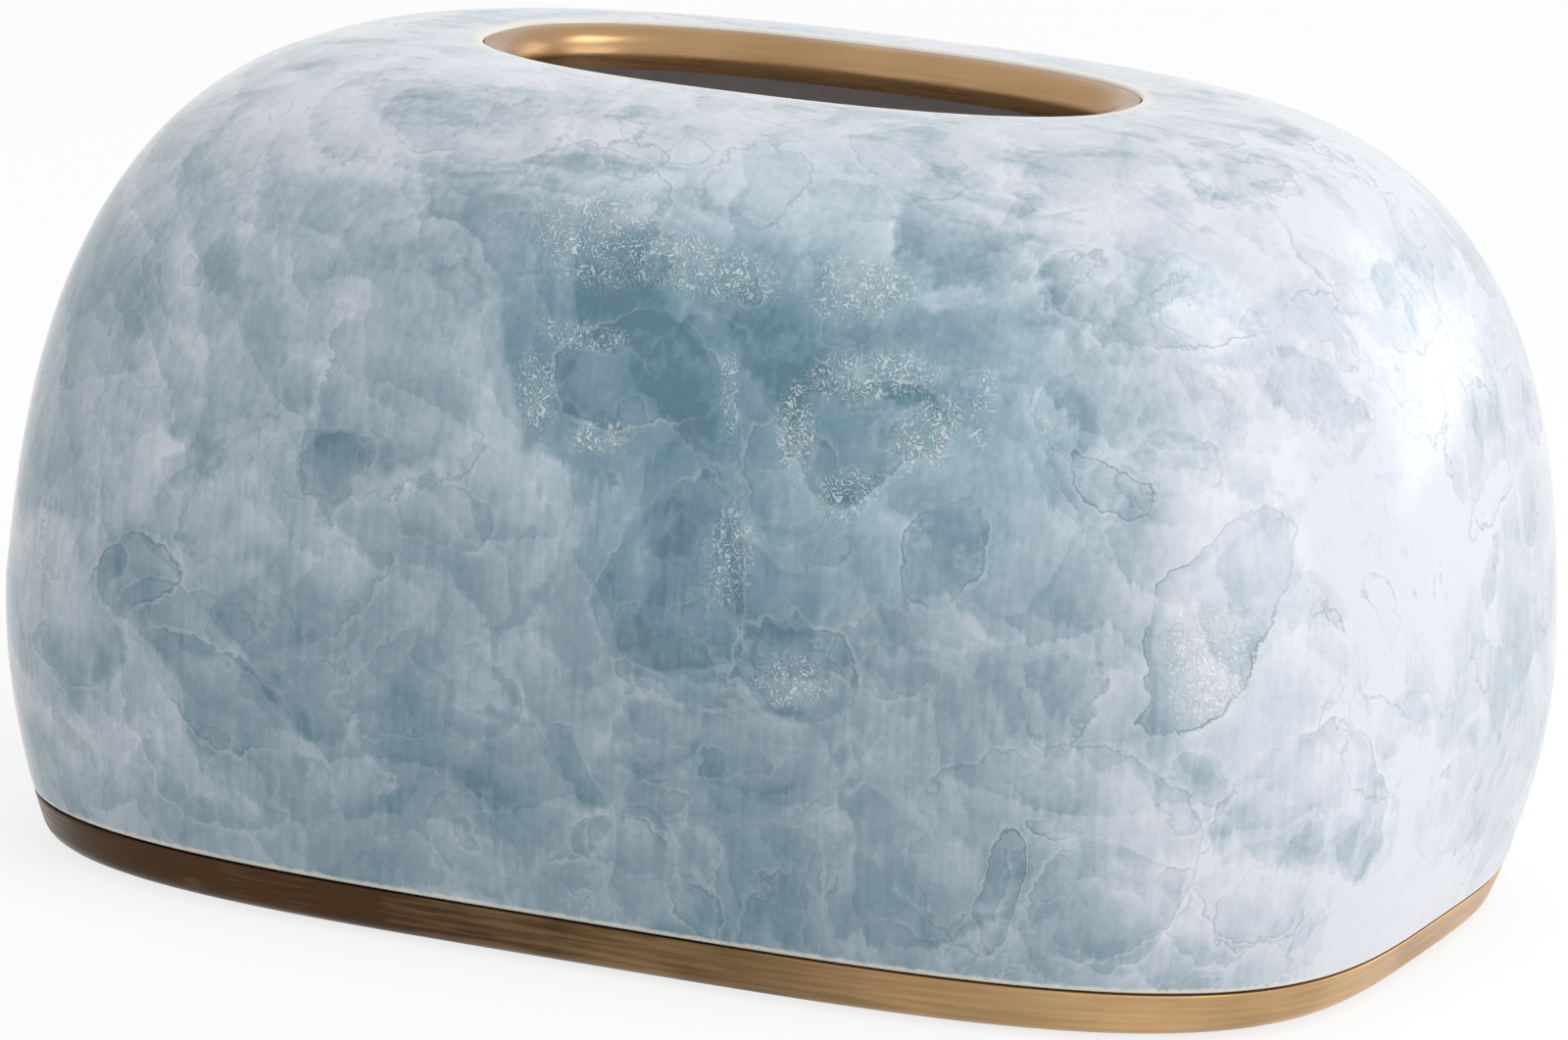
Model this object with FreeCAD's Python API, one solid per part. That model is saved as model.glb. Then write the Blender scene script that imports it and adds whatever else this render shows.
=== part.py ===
import FreeCAD, Part
import math
import os

# Outer form of the whole cover and its base
body_length = 240.0
body_depth = 161.0
body_height = 130.0
belly_level = 42.0
end_draw_in = 9.0
front_draw_in = 3.5
crest_length = 111.0
crest_depth = 59.0

# How square the plan is at the belly and at the crest, and how full the shoulder and the draw-in are
belly_plan_power = 3.7
crest_plan_power = 2.4
shoulder_power = 2.75
draw_in_power = 2.0

# Ceramic shell
shell_wall = 6.0
crown_thickness = 5.5
shell_foot_round = 0.7
slot_land = 1.2
slot_edge_round = 0.8

# Metal lining of the slot
rim_thickness = 5.0
rim_top_drop = 0.5
rim_top_land = 0.4
rim_round_height = 4.5
rim_flange_width = 2.5
rim_flange_thickness = 1.5
rim_flange_margin = 1.0
rim_fit_clearance = 0.15

# Metal base ring
plinth_lift = 0.5
plinth_foot_round = 2.4
plinth_top_round = 0.4
skirt_thickness = 3.0
ledge_thickness = 3.1
lip_height = 5.0
lip_thickness = 2.5
lip_clearance = 0.8
lip_edge_round = 0.8

# Floor panel, its screws and the lugs that take them
panel_thickness = 3.0
panel_clearance = 0.25
screw_diameter = 3.0
screw_head_diameter = 6.0
screw_length = 8.0
screw_tip_length = 1.0
screw_fit_clearance = 0.05
screw_hole_clearance = 0.2
screw_drive_width = 0.8
screw_drive_depth = 1.0
lug_diameter = 9.0
lug_reach = 3.0
lug_roof = 1.2
pilot_spare_depth = 0.6
side_screw_place_share = 0.52

# Rubber ring under the shell and rubber mat under the base
gasket_width = 3.0
gasket_proud = 0.2
groove_depth = 0.7
groove_clearance = 0.1
mat_thickness = 1.5
mat_clearance = 0.4

# Fineness of the curves: steps along a quarter of an oval, a curved wall and a rounded edge
quarter_steps = 12
shoulder_steps = 9
draw_in_steps = 4
band_steps = 3
round_steps = 5

# Levels above the table, from the mat upwards
panel_bottom = mat_thickness
panel_top = panel_bottom + panel_thickness
seat_level = panel_top + ledge_thickness
lip_top = seat_level + lip_height
shell_foot = seat_level + gasket_proud
crown_underside = body_height - crown_thickness
rim_top = body_height - rim_top_drop
rim_bottom = crown_underside - rim_flange_thickness


def upright(half_length, half_depth, power):
    """Outlines of an upright oval wall, by level and by how far they are set in."""
    return lambda level, set_in=0.0: (half_length - set_in, half_depth - set_in, power, level)


def body_outline(level, set_in=0.0):
    """Outline of the body at a level below its belly, set in by a width."""
    fall = (belly_level - level) / belly_level
    return (
        0.5 * body_length - end_draw_in * fall ** draw_in_power - set_in,
        0.5 * body_depth - front_draw_in * fall ** draw_in_power - set_in,
        belly_plan_power,
        level,
    )


def inner_body_outline(level, set_in=0.0):
    """Outline of the shell's inner wall at a level below its belly."""
    return body_outline(level, shell_wall + set_in)


def dome_outlines(set_in, crest_half_length, crest_half_depth, top):
    """Outlines of a domed wall from its belly up to its crest."""
    half_length = 0.5 * body_length - set_in
    half_depth = 0.5 * body_depth - set_in
    outlines = []
    for step in range(shoulder_steps + 1):
        turn = 0.5 * math.pi * step / shoulder_steps
        rise = math.sin(turn)
        spread = math.cos(turn)
        reach = (rise ** shoulder_power + spread ** shoulder_power) ** (-1.0 / shoulder_power)
        rise = rise * reach
        spread = spread * reach
        outlines.append(
            (
                crest_half_length + (half_length - crest_half_length) * spread,
                crest_half_depth + (half_depth - crest_half_depth) * spread,
                belly_plan_power + (crest_plan_power - belly_plan_power) * rise,
                belly_level + (top - belly_level) * rise,
            )
        )
    return outlines


def levels_between(outline_at, low, high, steps):
    """Outlines of a wall at even levels after a low one and before a high one."""
    return [outline_at(low + (high - low) * step / steps) for step in range(1, steps)]


def edge_round(outline_at, flat_level, radius, rise, side):
    """Rounded edge from a wall to a flat: rise is 1 below a flat or -1, side is 1 on an outer wall or -1."""
    outlines = []
    for step in range(round_steps + 1):
        turn = 0.5 * math.pi * step / round_steps
        level = flat_level - rise * radius * (1.0 - math.sin(turn))
        outlines.append(outline_at(level, side * radius * (1.0 - math.cos(turn))))
    return outlines


def oval_point(half_length, half_depth, power, level, angle):
    """Point of a squared oval at an angle round it."""
    along = math.cos(angle)
    across = math.sin(angle)
    reach = (abs(along) ** power + abs(across) ** power) ** (-1.0 / power)
    return FreeCAD.Vector(half_length * along * reach, half_depth * across * reach, level)


def oval_wire(half_length, half_depth, power, level):
    """Closed squared-oval line of four quarters that run on smoothly into each other."""
    pace = 0.5 * math.pi / quarter_steps
    knots = [float(step) for step in range(quarter_steps + 1)]
    quarters = []
    for quarter in range(4):
        angles = [0.5 * math.pi * quarter + pace * step for step in range(quarter_steps + 1)]
        ways = []
        for angle in (angles[0], angles[-1]):
            way = FreeCAD.Vector(-half_length * math.sin(angle), half_depth * math.cos(angle), 0)
            ways.append(way * pace)
        curve = Part.BSplineCurve()
        curve.interpolate(
            Points=[oval_point(half_length, half_depth, power, level, angle) for angle in angles],
            Parameters=knots,
            InitialTangent=ways[0],
            FinalTangent=ways[1],
            Scale=False,
        )
        quarters.append(curve.toShape())
    return Part.Wire(quarters)


def oval_slab(outline, height):
    """Flat slab over an oval outline."""
    return Part.Face(oval_wire(*outline)).extrude(FreeCAD.Vector(0, 0, height))


def ring_of(walls):
    """Solid ring from its walls, in order round its section, with flat rings between ends at one level."""
    faces = []
    for place, wall in enumerate(walls):
        faces.extend(Part.makeLoft([oval_wire(*outline) for outline in wall], False, False).Faces)
        ends = (wall[-1], walls[(place + 1) % len(walls)][0])
        if ends[0] != ends[1]:
            hole = oval_wire(*min(ends))
            hole.reverse()
            faces.append(Part.Face([oval_wire(*max(ends)), hole]))
    shell = Part.makeShell(faces)
    shell.sewShape()
    ring = Part.makeSolid(shell)
    if ring.Volume < 0.0:
        ring.reverse()
    return ring


# Upright walls that several pieces share
slot_wall = upright(0.5 * crest_length - slot_land, 0.5 * crest_depth - slot_land, crest_plan_power)
lip_wall = upright(*inner_body_outline(shell_foot, lip_clearance)[:3])
well_wall = upright(*lip_wall(lip_top, lip_thickness)[:3])
pocket_wall = upright(*body_outline(plinth_lift, skirt_thickness)[:3])
gasket_set_in = 0.5 * (shell_wall - gasket_width)
gasket_wall = upright(*body_outline(seat_level, gasket_set_in)[:3])


def screw_places():
    """Centres of the screws: two along each long side and one at each end."""
    half_length, half_depth, power, _ = well_wall(panel_top)
    bow = (1.0 - side_screw_place_share ** power) ** (1.0 / power)
    side = half_depth * bow - lug_reach
    places = [(end * (half_length - lug_reach), 0.0) for end in (-1, 1)]
    for end in (-1, 1):
        for face in (-1, 1):
            places.append((end * side_screw_place_share * half_length, face * side))
    return places


def make_ceramic_shell():
    """Domed shell, open below, with the slot through its crown and rounded edges."""
    foot_outside = edge_round(body_outline, shell_foot, shell_foot_round, -1, 1)
    foot_inside = edge_round(inner_body_outline, shell_foot, shell_foot_round, -1, -1)
    low = shell_foot + shell_foot_round
    outside = [foot_outside[0]]
    outside += levels_between(body_outline, low, belly_level, draw_in_steps)
    outside += dome_outlines(0.0, 0.5 * crest_length, 0.5 * crest_depth, body_height)
    seat = slot_wall(crown_underside, -(rim_flange_width + rim_flange_margin))
    inside = [foot_inside[0]]
    inside += levels_between(inner_body_outline, low, belly_level, draw_in_steps)
    inside += dome_outlines(shell_wall, seat[0], seat[1], crown_underside)
    slot_edge = edge_round(slot_wall, body_height, slot_edge_round, 1, -1)
    return ring_of(
        [
            foot_outside[::-1],
            outside,
            slot_edge[::-1],
            [slot_edge[0], slot_wall(crown_underside)],
            inside[::-1],
            foot_inside,
        ]
    )


def make_slot_rim():
    """Half-round lining of the slot with a flange under the crown."""
    throat = slot_wall(rim_bottom, rim_fit_clearance + rim_thickness)
    mouth = []
    for step in range(round_steps + 1):
        turn = 0.5 * math.pi * step / round_steps
        inward = rim_top_land + (rim_thickness - rim_top_land) * math.sin(turn)
        drop = rim_round_height * (1.0 - math.cos(turn))
        mouth.append(slot_wall(rim_top - drop, rim_fit_clearance + inward))
    return ring_of(
        [
            [slot_wall(crown_underside, rim_fit_clearance), slot_wall(rim_top, rim_fit_clearance)],
            mouth,
            [mouth[-1], throat],
            [slot_wall(rim_bottom, -rim_flange_width), slot_wall(crown_underside, -rim_flange_width)],
        ]
    )


def make_base_plinth():
    """Gold ring: outer band, seat, locating lip, screw lugs and the pocket for the panel."""
    foot_edge = edge_round(body_outline, plinth_lift, plinth_foot_round, -1, 1)
    seat_edge = edge_round(body_outline, seat_level, plinth_top_round, 1, 1)
    band = [foot_edge[0]]
    low = plinth_lift + plinth_foot_round
    band += levels_between(body_outline, low, seat_level - plinth_top_round, band_steps)
    band += [seat_edge[0]]
    groove_floor = seat_level - groove_depth
    groove_inner = gasket_width + groove_clearance
    lip_outer_edge = edge_round(lip_wall, lip_top, lip_edge_round, 1, 1)
    lip_inner_edge = edge_round(well_wall, lip_top, lip_edge_round, 1, -1)
    plinth = ring_of(
        [
            foot_edge[::-1],
            band,
            seat_edge,
            [gasket_wall(seat_level, -groove_clearance), gasket_wall(groove_floor, -groove_clearance)],
            [gasket_wall(groove_floor, groove_inner), gasket_wall(seat_level, groove_inner)],
            [lip_wall(seat_level), lip_outer_edge[0]],
            lip_outer_edge,
            lip_inner_edge[::-1],
            [lip_inner_edge[0], well_wall(panel_top)],
            [pocket_wall(panel_top), pocket_wall(plinth_lift)],
        ]
    )
    pilot_depth = screw_length - panel_thickness + pilot_spare_depth
    lugs = []
    pilots = []
    for along, across in screw_places():
        foot = FreeCAD.Vector(along, across, panel_top)
        lugs.append(Part.makeCylinder(0.5 * lug_diameter, pilot_depth + lug_roof, foot))
        pilots.append(Part.makeCylinder(0.5 * screw_diameter + screw_fit_clearance, pilot_depth, foot))
    return plinth.fuse(lugs).cut(pilots).removeSplitter()


def make_floor_panel():
    """Flat board in the plinth's pocket with countersunk holes."""
    panel = oval_slab(pocket_wall(panel_bottom, panel_clearance), panel_thickness)
    hole_radius = 0.5 * screw_diameter + screw_hole_clearance
    sink_radius = 0.5 * screw_head_diameter + screw_hole_clearance
    holes = []
    for along, across in screw_places():
        foot = FreeCAD.Vector(along, across, panel_bottom)
        sink = Part.makeCone(sink_radius, hole_radius, sink_radius - hole_radius, foot)
        holes.append(sink.fuse(Part.makeCylinder(hole_radius, panel_thickness, foot)))
    return panel.cut(holes)


def make_screw(along, across):
    """Countersunk screw with a cross recess, its head flush with the panel's underside."""
    radius = 0.5 * screw_diameter
    head_radius = 0.5 * screw_head_diameter
    foot = FreeCAD.Vector(along, across, panel_bottom)
    tip_foot = foot + FreeCAD.Vector(0, 0, screw_length - screw_tip_length)
    head = Part.makeCone(head_radius, radius, head_radius - radius, foot)
    shank = Part.makeCylinder(radius, screw_length - screw_tip_length, foot)
    tip = Part.makeCone(radius, 0.5 * radius, screw_tip_length, tip_foot)
    half_width = 0.5 * screw_drive_width
    reach = radius + half_width
    recess = []
    for half_along, half_across in ((reach, half_width), (half_width, reach)):
        corner = foot - FreeCAD.Vector(half_along, half_across, 0)
        recess.append(Part.makeBox(2.0 * half_along, 2.0 * half_across, screw_drive_depth, corner))
    return head.fuse([shank, tip]).cut(recess).removeSplitter()


def make_seat_gasket():
    """Rubber ring in the seat's groove, standing proud of it to carry the shell."""
    floor = seat_level - groove_depth
    return ring_of(
        [
            [gasket_wall(floor), gasket_wall(shell_foot)],
            [gasket_wall(shell_foot, gasket_width), gasket_wall(floor, gasket_width)],
        ]
    )


def make_non_slip_mat():
    """Rubber mat glued under the panel, from the table up."""
    return oval_slab(pocket_wall(0.0, mat_clearance), mat_thickness)


nodes = {
    "ceramic_shell": make_ceramic_shell(),
    "slot_rim": make_slot_rim(),
    "base_plinth": make_base_plinth(),
    "floor_panel": make_floor_panel(),
    "floor_screws": Part.makeCompound([make_screw(along, across) for along, across in screw_places()]),
    "seat_gasket": make_seat_gasket(),
    "non_slip_mat": make_non_slip_mat(),
}

os.makedirs("parts", exist_ok=True)
for name, shape in nodes.items():
    shape.exportStep("parts/" + name + ".step")
    print(name, "solids", len(shape.Solids), "valid", shape.isValid(), "volume", round(shape.Volume, 1))
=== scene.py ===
import math

import bpy
import numpy as np
from mathutils import Matrix, Vector, noise


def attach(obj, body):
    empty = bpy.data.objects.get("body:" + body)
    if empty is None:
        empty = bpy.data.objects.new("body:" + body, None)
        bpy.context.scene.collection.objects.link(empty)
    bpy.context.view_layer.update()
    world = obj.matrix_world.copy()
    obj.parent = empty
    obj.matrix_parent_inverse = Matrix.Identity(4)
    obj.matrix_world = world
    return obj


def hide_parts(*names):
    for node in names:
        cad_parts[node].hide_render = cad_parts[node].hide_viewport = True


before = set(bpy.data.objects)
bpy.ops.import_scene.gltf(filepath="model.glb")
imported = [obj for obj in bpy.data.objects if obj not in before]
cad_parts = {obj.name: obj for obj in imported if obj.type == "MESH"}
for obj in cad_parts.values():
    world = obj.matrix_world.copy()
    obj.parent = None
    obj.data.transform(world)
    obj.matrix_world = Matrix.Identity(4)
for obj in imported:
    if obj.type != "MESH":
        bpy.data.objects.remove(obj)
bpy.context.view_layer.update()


# Base plinth: a cast metal ring that the cover stands on, in satin antique gold.
# Its band carries on the drawn-in line of the ceramic; inside it has a seat with a groove,
# a locating lip for the shell and six lugs that take the floor screws.
body_length = 0.240
body_depth = 0.161
belly_level = 0.042
end_draw_in = 0.009
front_draw_in = 0.0035
belly_plan_power = 3.7
shell_wall = 0.006
plinth_lift = 0.0005
plinth_foot_round = 0.0024
plinth_top_round = 0.0004
skirt_thickness = 0.003
panel_top = 0.0045
seat_level = 0.0076
shell_foot = 0.0078
lip_top = 0.0126
lip_clearance = 0.0008
lip_thickness = 0.0025
lip_edge_round = 0.0008
gasket_width = 0.003
groove_depth = 0.0007
groove_clearance = 0.0001
lug_diameter = 0.009
lug_reach = 0.003
lug_height = 0.0068
lug_edge_round = 0.0006
round_plan_power = 2.0
side_screw_place_share = 0.52
plinth_points_round = 560
lug_points_round = 40
band_steps = 8
crease_angle = 40.0


def body_outline(level, set_in=0.0):
    """Squared oval of the body below its belly: half length, half depth, power, level."""
    fall = (belly_level - level) / belly_level
    return (
        0.5 * body_length - end_draw_in * fall ** 2 - set_in,
        0.5 * body_depth - front_draw_in * fall ** 2 - set_in,
        belly_plan_power,
        level,
    )


def upright(half_length, half_depth, power):
    """Outlines of an upright oval wall, by level and by how far they are set in."""
    return lambda level, set_in=0.0: (half_length - set_in, half_depth - set_in, power, level)


def edge_round(outline_at, flat_level, radius, rise, side, steps=5):
    """Rounded edge from a wall to a flat.

    Rise is 1 for an edge below its flat, else -1; side is 1 on an outer wall, else -1.
    """
    outlines = []
    for step in range(steps + 1):
        turn = 0.5 * math.pi * step / steps
        level = flat_level - rise * radius * (1.0 - math.sin(turn))
        outlines.append(outline_at(level, side * radius * (1.0 - math.cos(turn))))
    return outlines


def oval_points(outline, count):
    """Points round one squared oval."""
    half_length, half_depth, power, level = outline
    angles = np.arange(count) * (2.0 * math.pi / count)
    along, across = np.cos(angles), np.sin(angles)
    reach = (np.abs(along) ** power + np.abs(across) ** power) ** (-1.0 / power)
    return np.column_stack(
        (half_length * along * reach, half_depth * across * reach, np.full(count, level))
    )


def skinned(outlines, count, ring, shift=(0.0, 0.0)):
    """Points and faces over a row of outlines; a ring closes on itself, else both ends are capped."""
    rows = len(outlines)
    points = np.concatenate([oval_points(outline, count) for outline in outlines])
    points += np.array((*shift, 0.0))
    here = np.arange(count)
    ahead = (here + 1) % count
    faces = []
    for row in range(rows if ring else rows - 1):
        low, high = row * count, ((row + 1) % rows) * count
        faces += np.column_stack((low + here, low + ahead, high + ahead, high + here)).tolist()
    if not ring:
        faces.append(here[::-1].tolist())
        faces.append(((rows - 1) * count + here).tolist())
    return points, faces


def smooth_piece(name, skins, sharp_angle):
    """One object from several closed skins, shaded smooth but for edges over an angle."""
    points, faces, start = [], [], 0
    for skin_points, skin_faces in skins:
        points += skin_points.tolist()
        faces += [[start + corner for corner in face] for face in skin_faces]
        start += len(skin_points)
    mesh = bpy.data.meshes.new(name)
    mesh.from_pydata(points, [], faces)
    mesh.polygons.foreach_set("use_smooth", [True] * len(mesh.polygons))
    mesh.set_sharp_from_angle(angle=math.radians(sharp_angle))
    mesh.update()
    piece = bpy.data.objects.new(name, mesh)
    bpy.context.scene.collection.objects.link(piece)
    return piece


lip_wall = upright(*body_outline(shell_foot, shell_wall + lip_clearance)[:3])
well_wall = upright(*lip_wall(lip_top, lip_thickness)[:3])
pocket_wall = upright(*body_outline(plinth_lift, skirt_thickness)[:3])
gasket_wall = upright(*body_outline(seat_level, 0.5 * (shell_wall - gasket_width))[:3])


def screw_places():
    """Centres of the screws: one at each end and two along each long side."""
    half_length, half_depth, power, _ = well_wall(panel_top)
    bow = (1.0 - side_screw_place_share ** power) ** (1.0 / power)
    along = side_screw_place_share * half_length
    across = half_depth * bow - lug_reach
    places = [(end * (half_length - lug_reach), 0.0) for end in (-1, 1)]
    places += [(end * along, face * across) for end in (-1, 1) for face in (-1, 1)]
    return places


foot_edge = edge_round(body_outline, plinth_lift, plinth_foot_round, -1, 1)
seat_edge = edge_round(body_outline, seat_level, plinth_top_round, 1, 1)
band_low = plinth_lift + plinth_foot_round
band_rise = seat_level - plinth_top_round - band_low
band = [body_outline(band_low + band_rise * step / band_steps) for step in range(1, band_steps)]
groove_floor = seat_level - groove_depth
plinth_outlines = foot_edge[::-1] + band + seat_edge
plinth_outlines += [
    gasket_wall(seat_level, -groove_clearance),
    gasket_wall(groove_floor, -groove_clearance),
    gasket_wall(groove_floor, gasket_width + groove_clearance),
    gasket_wall(seat_level, gasket_width + groove_clearance),
    lip_wall(seat_level),
]
plinth_outlines += edge_round(lip_wall, lip_top, lip_edge_round, 1, 1)
plinth_outlines += edge_round(well_wall, lip_top, lip_edge_round, 1, -1)[::-1]
plinth_outlines += [well_wall(panel_top), pocket_wall(panel_top), pocket_wall(plinth_lift)]
plinth_skins = [skinned(plinth_outlines, plinth_points_round, True)]
lug_wall = upright(0.5 * lug_diameter, 0.5 * lug_diameter, round_plan_power)
lug_outlines = [lug_wall(panel_top)]
lug_outlines += edge_round(lug_wall, panel_top + lug_height, lug_edge_round, 1, 1)
for screw_place in screw_places():
    plinth_skins.append(skinned(lug_outlines, lug_points_round, False, screw_place))
base_plinth = smooth_piece("gold_base_plinth", plinth_skins, crease_angle)


def srgb(red, green, blue):
    """A colour as it looks on a screen, 0 to 255, turned to the renderer's linear values."""
    linear = []
    for level in (red, green, blue):
        share = level / 255.0
        linear.append(share / 12.92 if share <= 0.04045 else ((share + 0.055) / 1.055) ** 2.4)
    return (*linear, 1.0)


def add_node(tree, kind, settings=None, sockets=None):
    """Adds a shader node, gives it its settings, and links or sets its sockets."""
    node = tree.nodes.new("ShaderNode" + kind)
    for name, value in (settings or {}).items():
        setattr(node, name, value)
    for key, value in (sockets or {}).items():
        if isinstance(value, bpy.types.NodeSocket):
            tree.links.new(value, node.inputs[key])
        else:
            node.inputs[key].default_value = value
    return node


def calc(tree, operation, *values, clamp=False):
    """One step of arithmetic on values or sockets."""
    sockets = dict(enumerate(values))
    settings = {"operation": operation, "use_clamp": clamp}
    return add_node(tree, "Math", settings, sockets).outputs[0]


def total(tree, *values):
    """Sum of values or sockets."""
    result = values[0]
    for value in values[1:]:
        result = calc(tree, "ADD", result, value)
    return result


def product(tree, *values):
    """Product of values or sockets."""
    result = values[0]
    for value in values[1:]:
        result = calc(tree, "MULTIPLY", result, value)
    return result


def vector_calc(tree, operation, first, second):
    """One step of arithmetic on two vectors; a dot product gives a value."""
    node = add_node(tree, "VectorMath", {"operation": operation}, {0: first, 1: second})
    return node.outputs["Value" if operation == "DOT_PRODUCT" else "Vector"]


def scaled(tree, vector, size):
    """A vector made longer or shorter."""
    sockets = {0: vector, "Scale": size}
    return add_node(tree, "VectorMath", {"operation": "SCALE"}, sockets).outputs["Vector"]


def eased(tree, value, low, high, start=0.0, end=1.0):
    """Carries a value smoothly from start to end between two of its levels."""
    sockets = {"Value": value, "From Min": low, "From Max": high, "To Min": start, "To Max": end}
    settings = {"interpolation_type": "SMOOTHSTEP"}
    return add_node(tree, "MapRange", settings, sockets).outputs["Result"]


def cloud(tree, place, width, detail=2.0, roughness=0.5, output="Fac"):
    """Soft random clouds about as wide as given, in millimetres, as a share or as a colour."""
    sockets = {"Vector": place, "Scale": 1.0 / width, "Detail": detail, "Roughness": roughness}
    return add_node(tree, "TexNoise", {"noise_dimensions": "3D"}, sockets).outputs[output]


def tinted(tree, share, below, above):
    """Mixes two colours by a share."""
    sockets = {0: share, 6: below, 7: above}
    return add_node(tree, "Mix", {"data_type": "RGBA"}, sockets).outputs[2]


def stretched(tree, place, shape=(1.0, 1.0, 1.0), shift=(0.0, 0.0, 0.0)):
    """Scales and shifts a place by given amounts along each axis."""
    sockets = {"Vector": place, "Scale": shape, "Location": shift}
    return add_node(tree, "Mapping", None, sockets).outputs[0]


def new_finish(name):
    """A new material with its tree, its shader and the place on its piece in millimetres."""
    millimetres_in_metre = 1000.0
    material = bpy.data.materials.new(name)
    material.use_nodes = True
    tree = material.node_tree
    tree.nodes.clear()
    shader = add_node(tree, "BsdfPrincipled")
    add_node(tree, "OutputMaterial", None, {"Surface": shader.outputs[0]})
    own_place = add_node(tree, "TexCoord").outputs["Object"]
    return material, tree, shader, scaled(tree, own_place, millimetres_in_metre)


def relief(tree, shader, height, depth):
    """Small relief on a surface, as deep as given in metres."""
    bump = add_node(tree, "Bump", None, {"Height": height, "Distance": depth})
    tree.links.new(bump.outputs[0], shader.inputs["Normal"])


def antique_gold(name, bright, brown, painted_shade_until, painted_shade_gone_from, least_rough):
    """Satin gold lacquer over cast metal, with faint rubbing marks.

    Along the piece it is painted brown, as painted shade, until one place and bright from another,
    both in millimetres.
    """
    patina_share, rubbing_share, painted_shade_share = 0.24, 0.14, 0.88
    patina_rough, rubbing_rough = 0.09, 0.1
    rubbing_height, grain_height, relief_depth = 0.6, 0.4, 0.00003
    material, tree, shader, place = new_finish(name)
    patina = cloud(tree, place, 30.0, 3.0)
    rubbing = cloud(tree, stretched(tree, place, (0.05, 0.05, 1.4)), 1.0, 3.0, 0.6)
    grain = cloud(tree, place, 0.7)
    along = add_node(tree, "SeparateXYZ", None, {0: place}).outputs[0]
    marks = total(
        tree,
        eased(tree, patina, 0.36, 0.68, 0.0, patina_share),
        eased(tree, rubbing, 0.3, 0.7, 0.0, rubbing_share),
    )
    # Painted shade: brown along the piece, fading out between the two places
    painted_shade_along = eased(tree, along, painted_shade_until, painted_shade_gone_from, painted_shade_share, 0.0)
    share = calc(tree, "ADD", marks, painted_shade_along, clamp=True)
    tree.links.new(tinted(tree, share, bright, brown), shader.inputs["Base Color"])
    shader.inputs["Metallic"].default_value = 1.0
    rough = total(
        tree,
        eased(tree, rubbing, 0.3, 0.7, least_rough, least_rough + rubbing_rough),
        eased(tree, patina, 0.3, 0.7, 0.0, patina_rough),
    )
    tree.links.new(rough, shader.inputs["Roughness"])
    rubbed = product(tree, rubbing, rubbing_height)
    relief(tree, shader, total(tree, rubbed, product(tree, grain, grain_height)), relief_depth)
    return material


# The plinth's band is painted brown as painted shade over its left part, fading out across the front
plinth_gold = antique_gold(
    "plinth_antique_gold",
    bright=srgb(212, 174, 126),
    brown=srgb(72, 52, 34),
    painted_shade_until=-30.0,
    painted_shade_gone_from=95.0,
    least_rough=0.28,
)
base_plinth.data.materials.append(plinth_gold)
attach(base_plinth, "base")
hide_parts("base_plinth")


# Floor panel: a grey faced fibreboard that closes the base from below and carries the tissues.
# It is cut to the plinth's pocket and drilled and countersunk for the screws.
board_dark = srgb(206, 201, 201)
board_light = srgb(218, 213, 212)
board_relief = 0.00006
material, tree, shader, place = new_finish("grey_faced_board")
fibres = cloud(tree, stretched(tree, place, (0.25, 1.6, 1.6)), 1.0, 5.0, 0.65)
mottle = cloud(tree, place, 9.0, 3.0)
board_share = product(
    tree, eased(tree, fibres, 0.25, 0.75), eased(tree, mottle, 0.2, 0.8, 0.6, 1.0)
)
board_colour = tinted(tree, board_share, board_dark, board_light)
tree.links.new(board_colour, shader.inputs["Base Color"])
tree.links.new(eased(tree, fibres, 0.2, 0.8, 0.5, 0.72), shader.inputs["Roughness"])
relief(tree, shader, fibres, board_relief)
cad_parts["floor_panel"].data.materials.clear()
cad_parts["floor_panel"].data.materials.append(material)


# Floor screws: six zinc plated countersunk screws that hold the board up into the plinth's lugs.
# Their heads lie flush with the board's underside, behind the mat.
zinc_dull = srgb(176, 178, 180)
zinc_bright = srgb(202, 203, 200)
zinc_relief = 0.00002
material, tree, shader, place = new_finish("zinc_plated_steel")
bloom = cloud(tree, place, 1.4, 4.0, 0.6)
zinc_colour = tinted(tree, eased(tree, bloom, 0.3, 0.7), zinc_dull, zinc_bright)
tree.links.new(zinc_colour, shader.inputs["Base Color"])
shader.inputs["Metallic"].default_value = 1.0
tree.links.new(eased(tree, bloom, 0.3, 0.7, 0.24, 0.42), shader.inputs["Roughness"])
relief(tree, shader, bloom, zinc_relief)
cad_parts["floor_screws"].data.materials.clear()
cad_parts["floor_screws"].data.materials.append(material)


# Non-slip mat: a thin moulded rubber mat glued under the board, on which the whole thing stands.
# Fine ribs run round its underside, and its edges are rounded by the mould.
mat_thickness = 0.0015
mat_clearance = 0.0004
mat_edge_round = 0.0004
mat_rib_pitch = 0.003
mat_rib_depth = 0.0003
mat_plain_margin = 0.005
mat_plain_middle = 0.030
mat_points_round = 320

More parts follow.
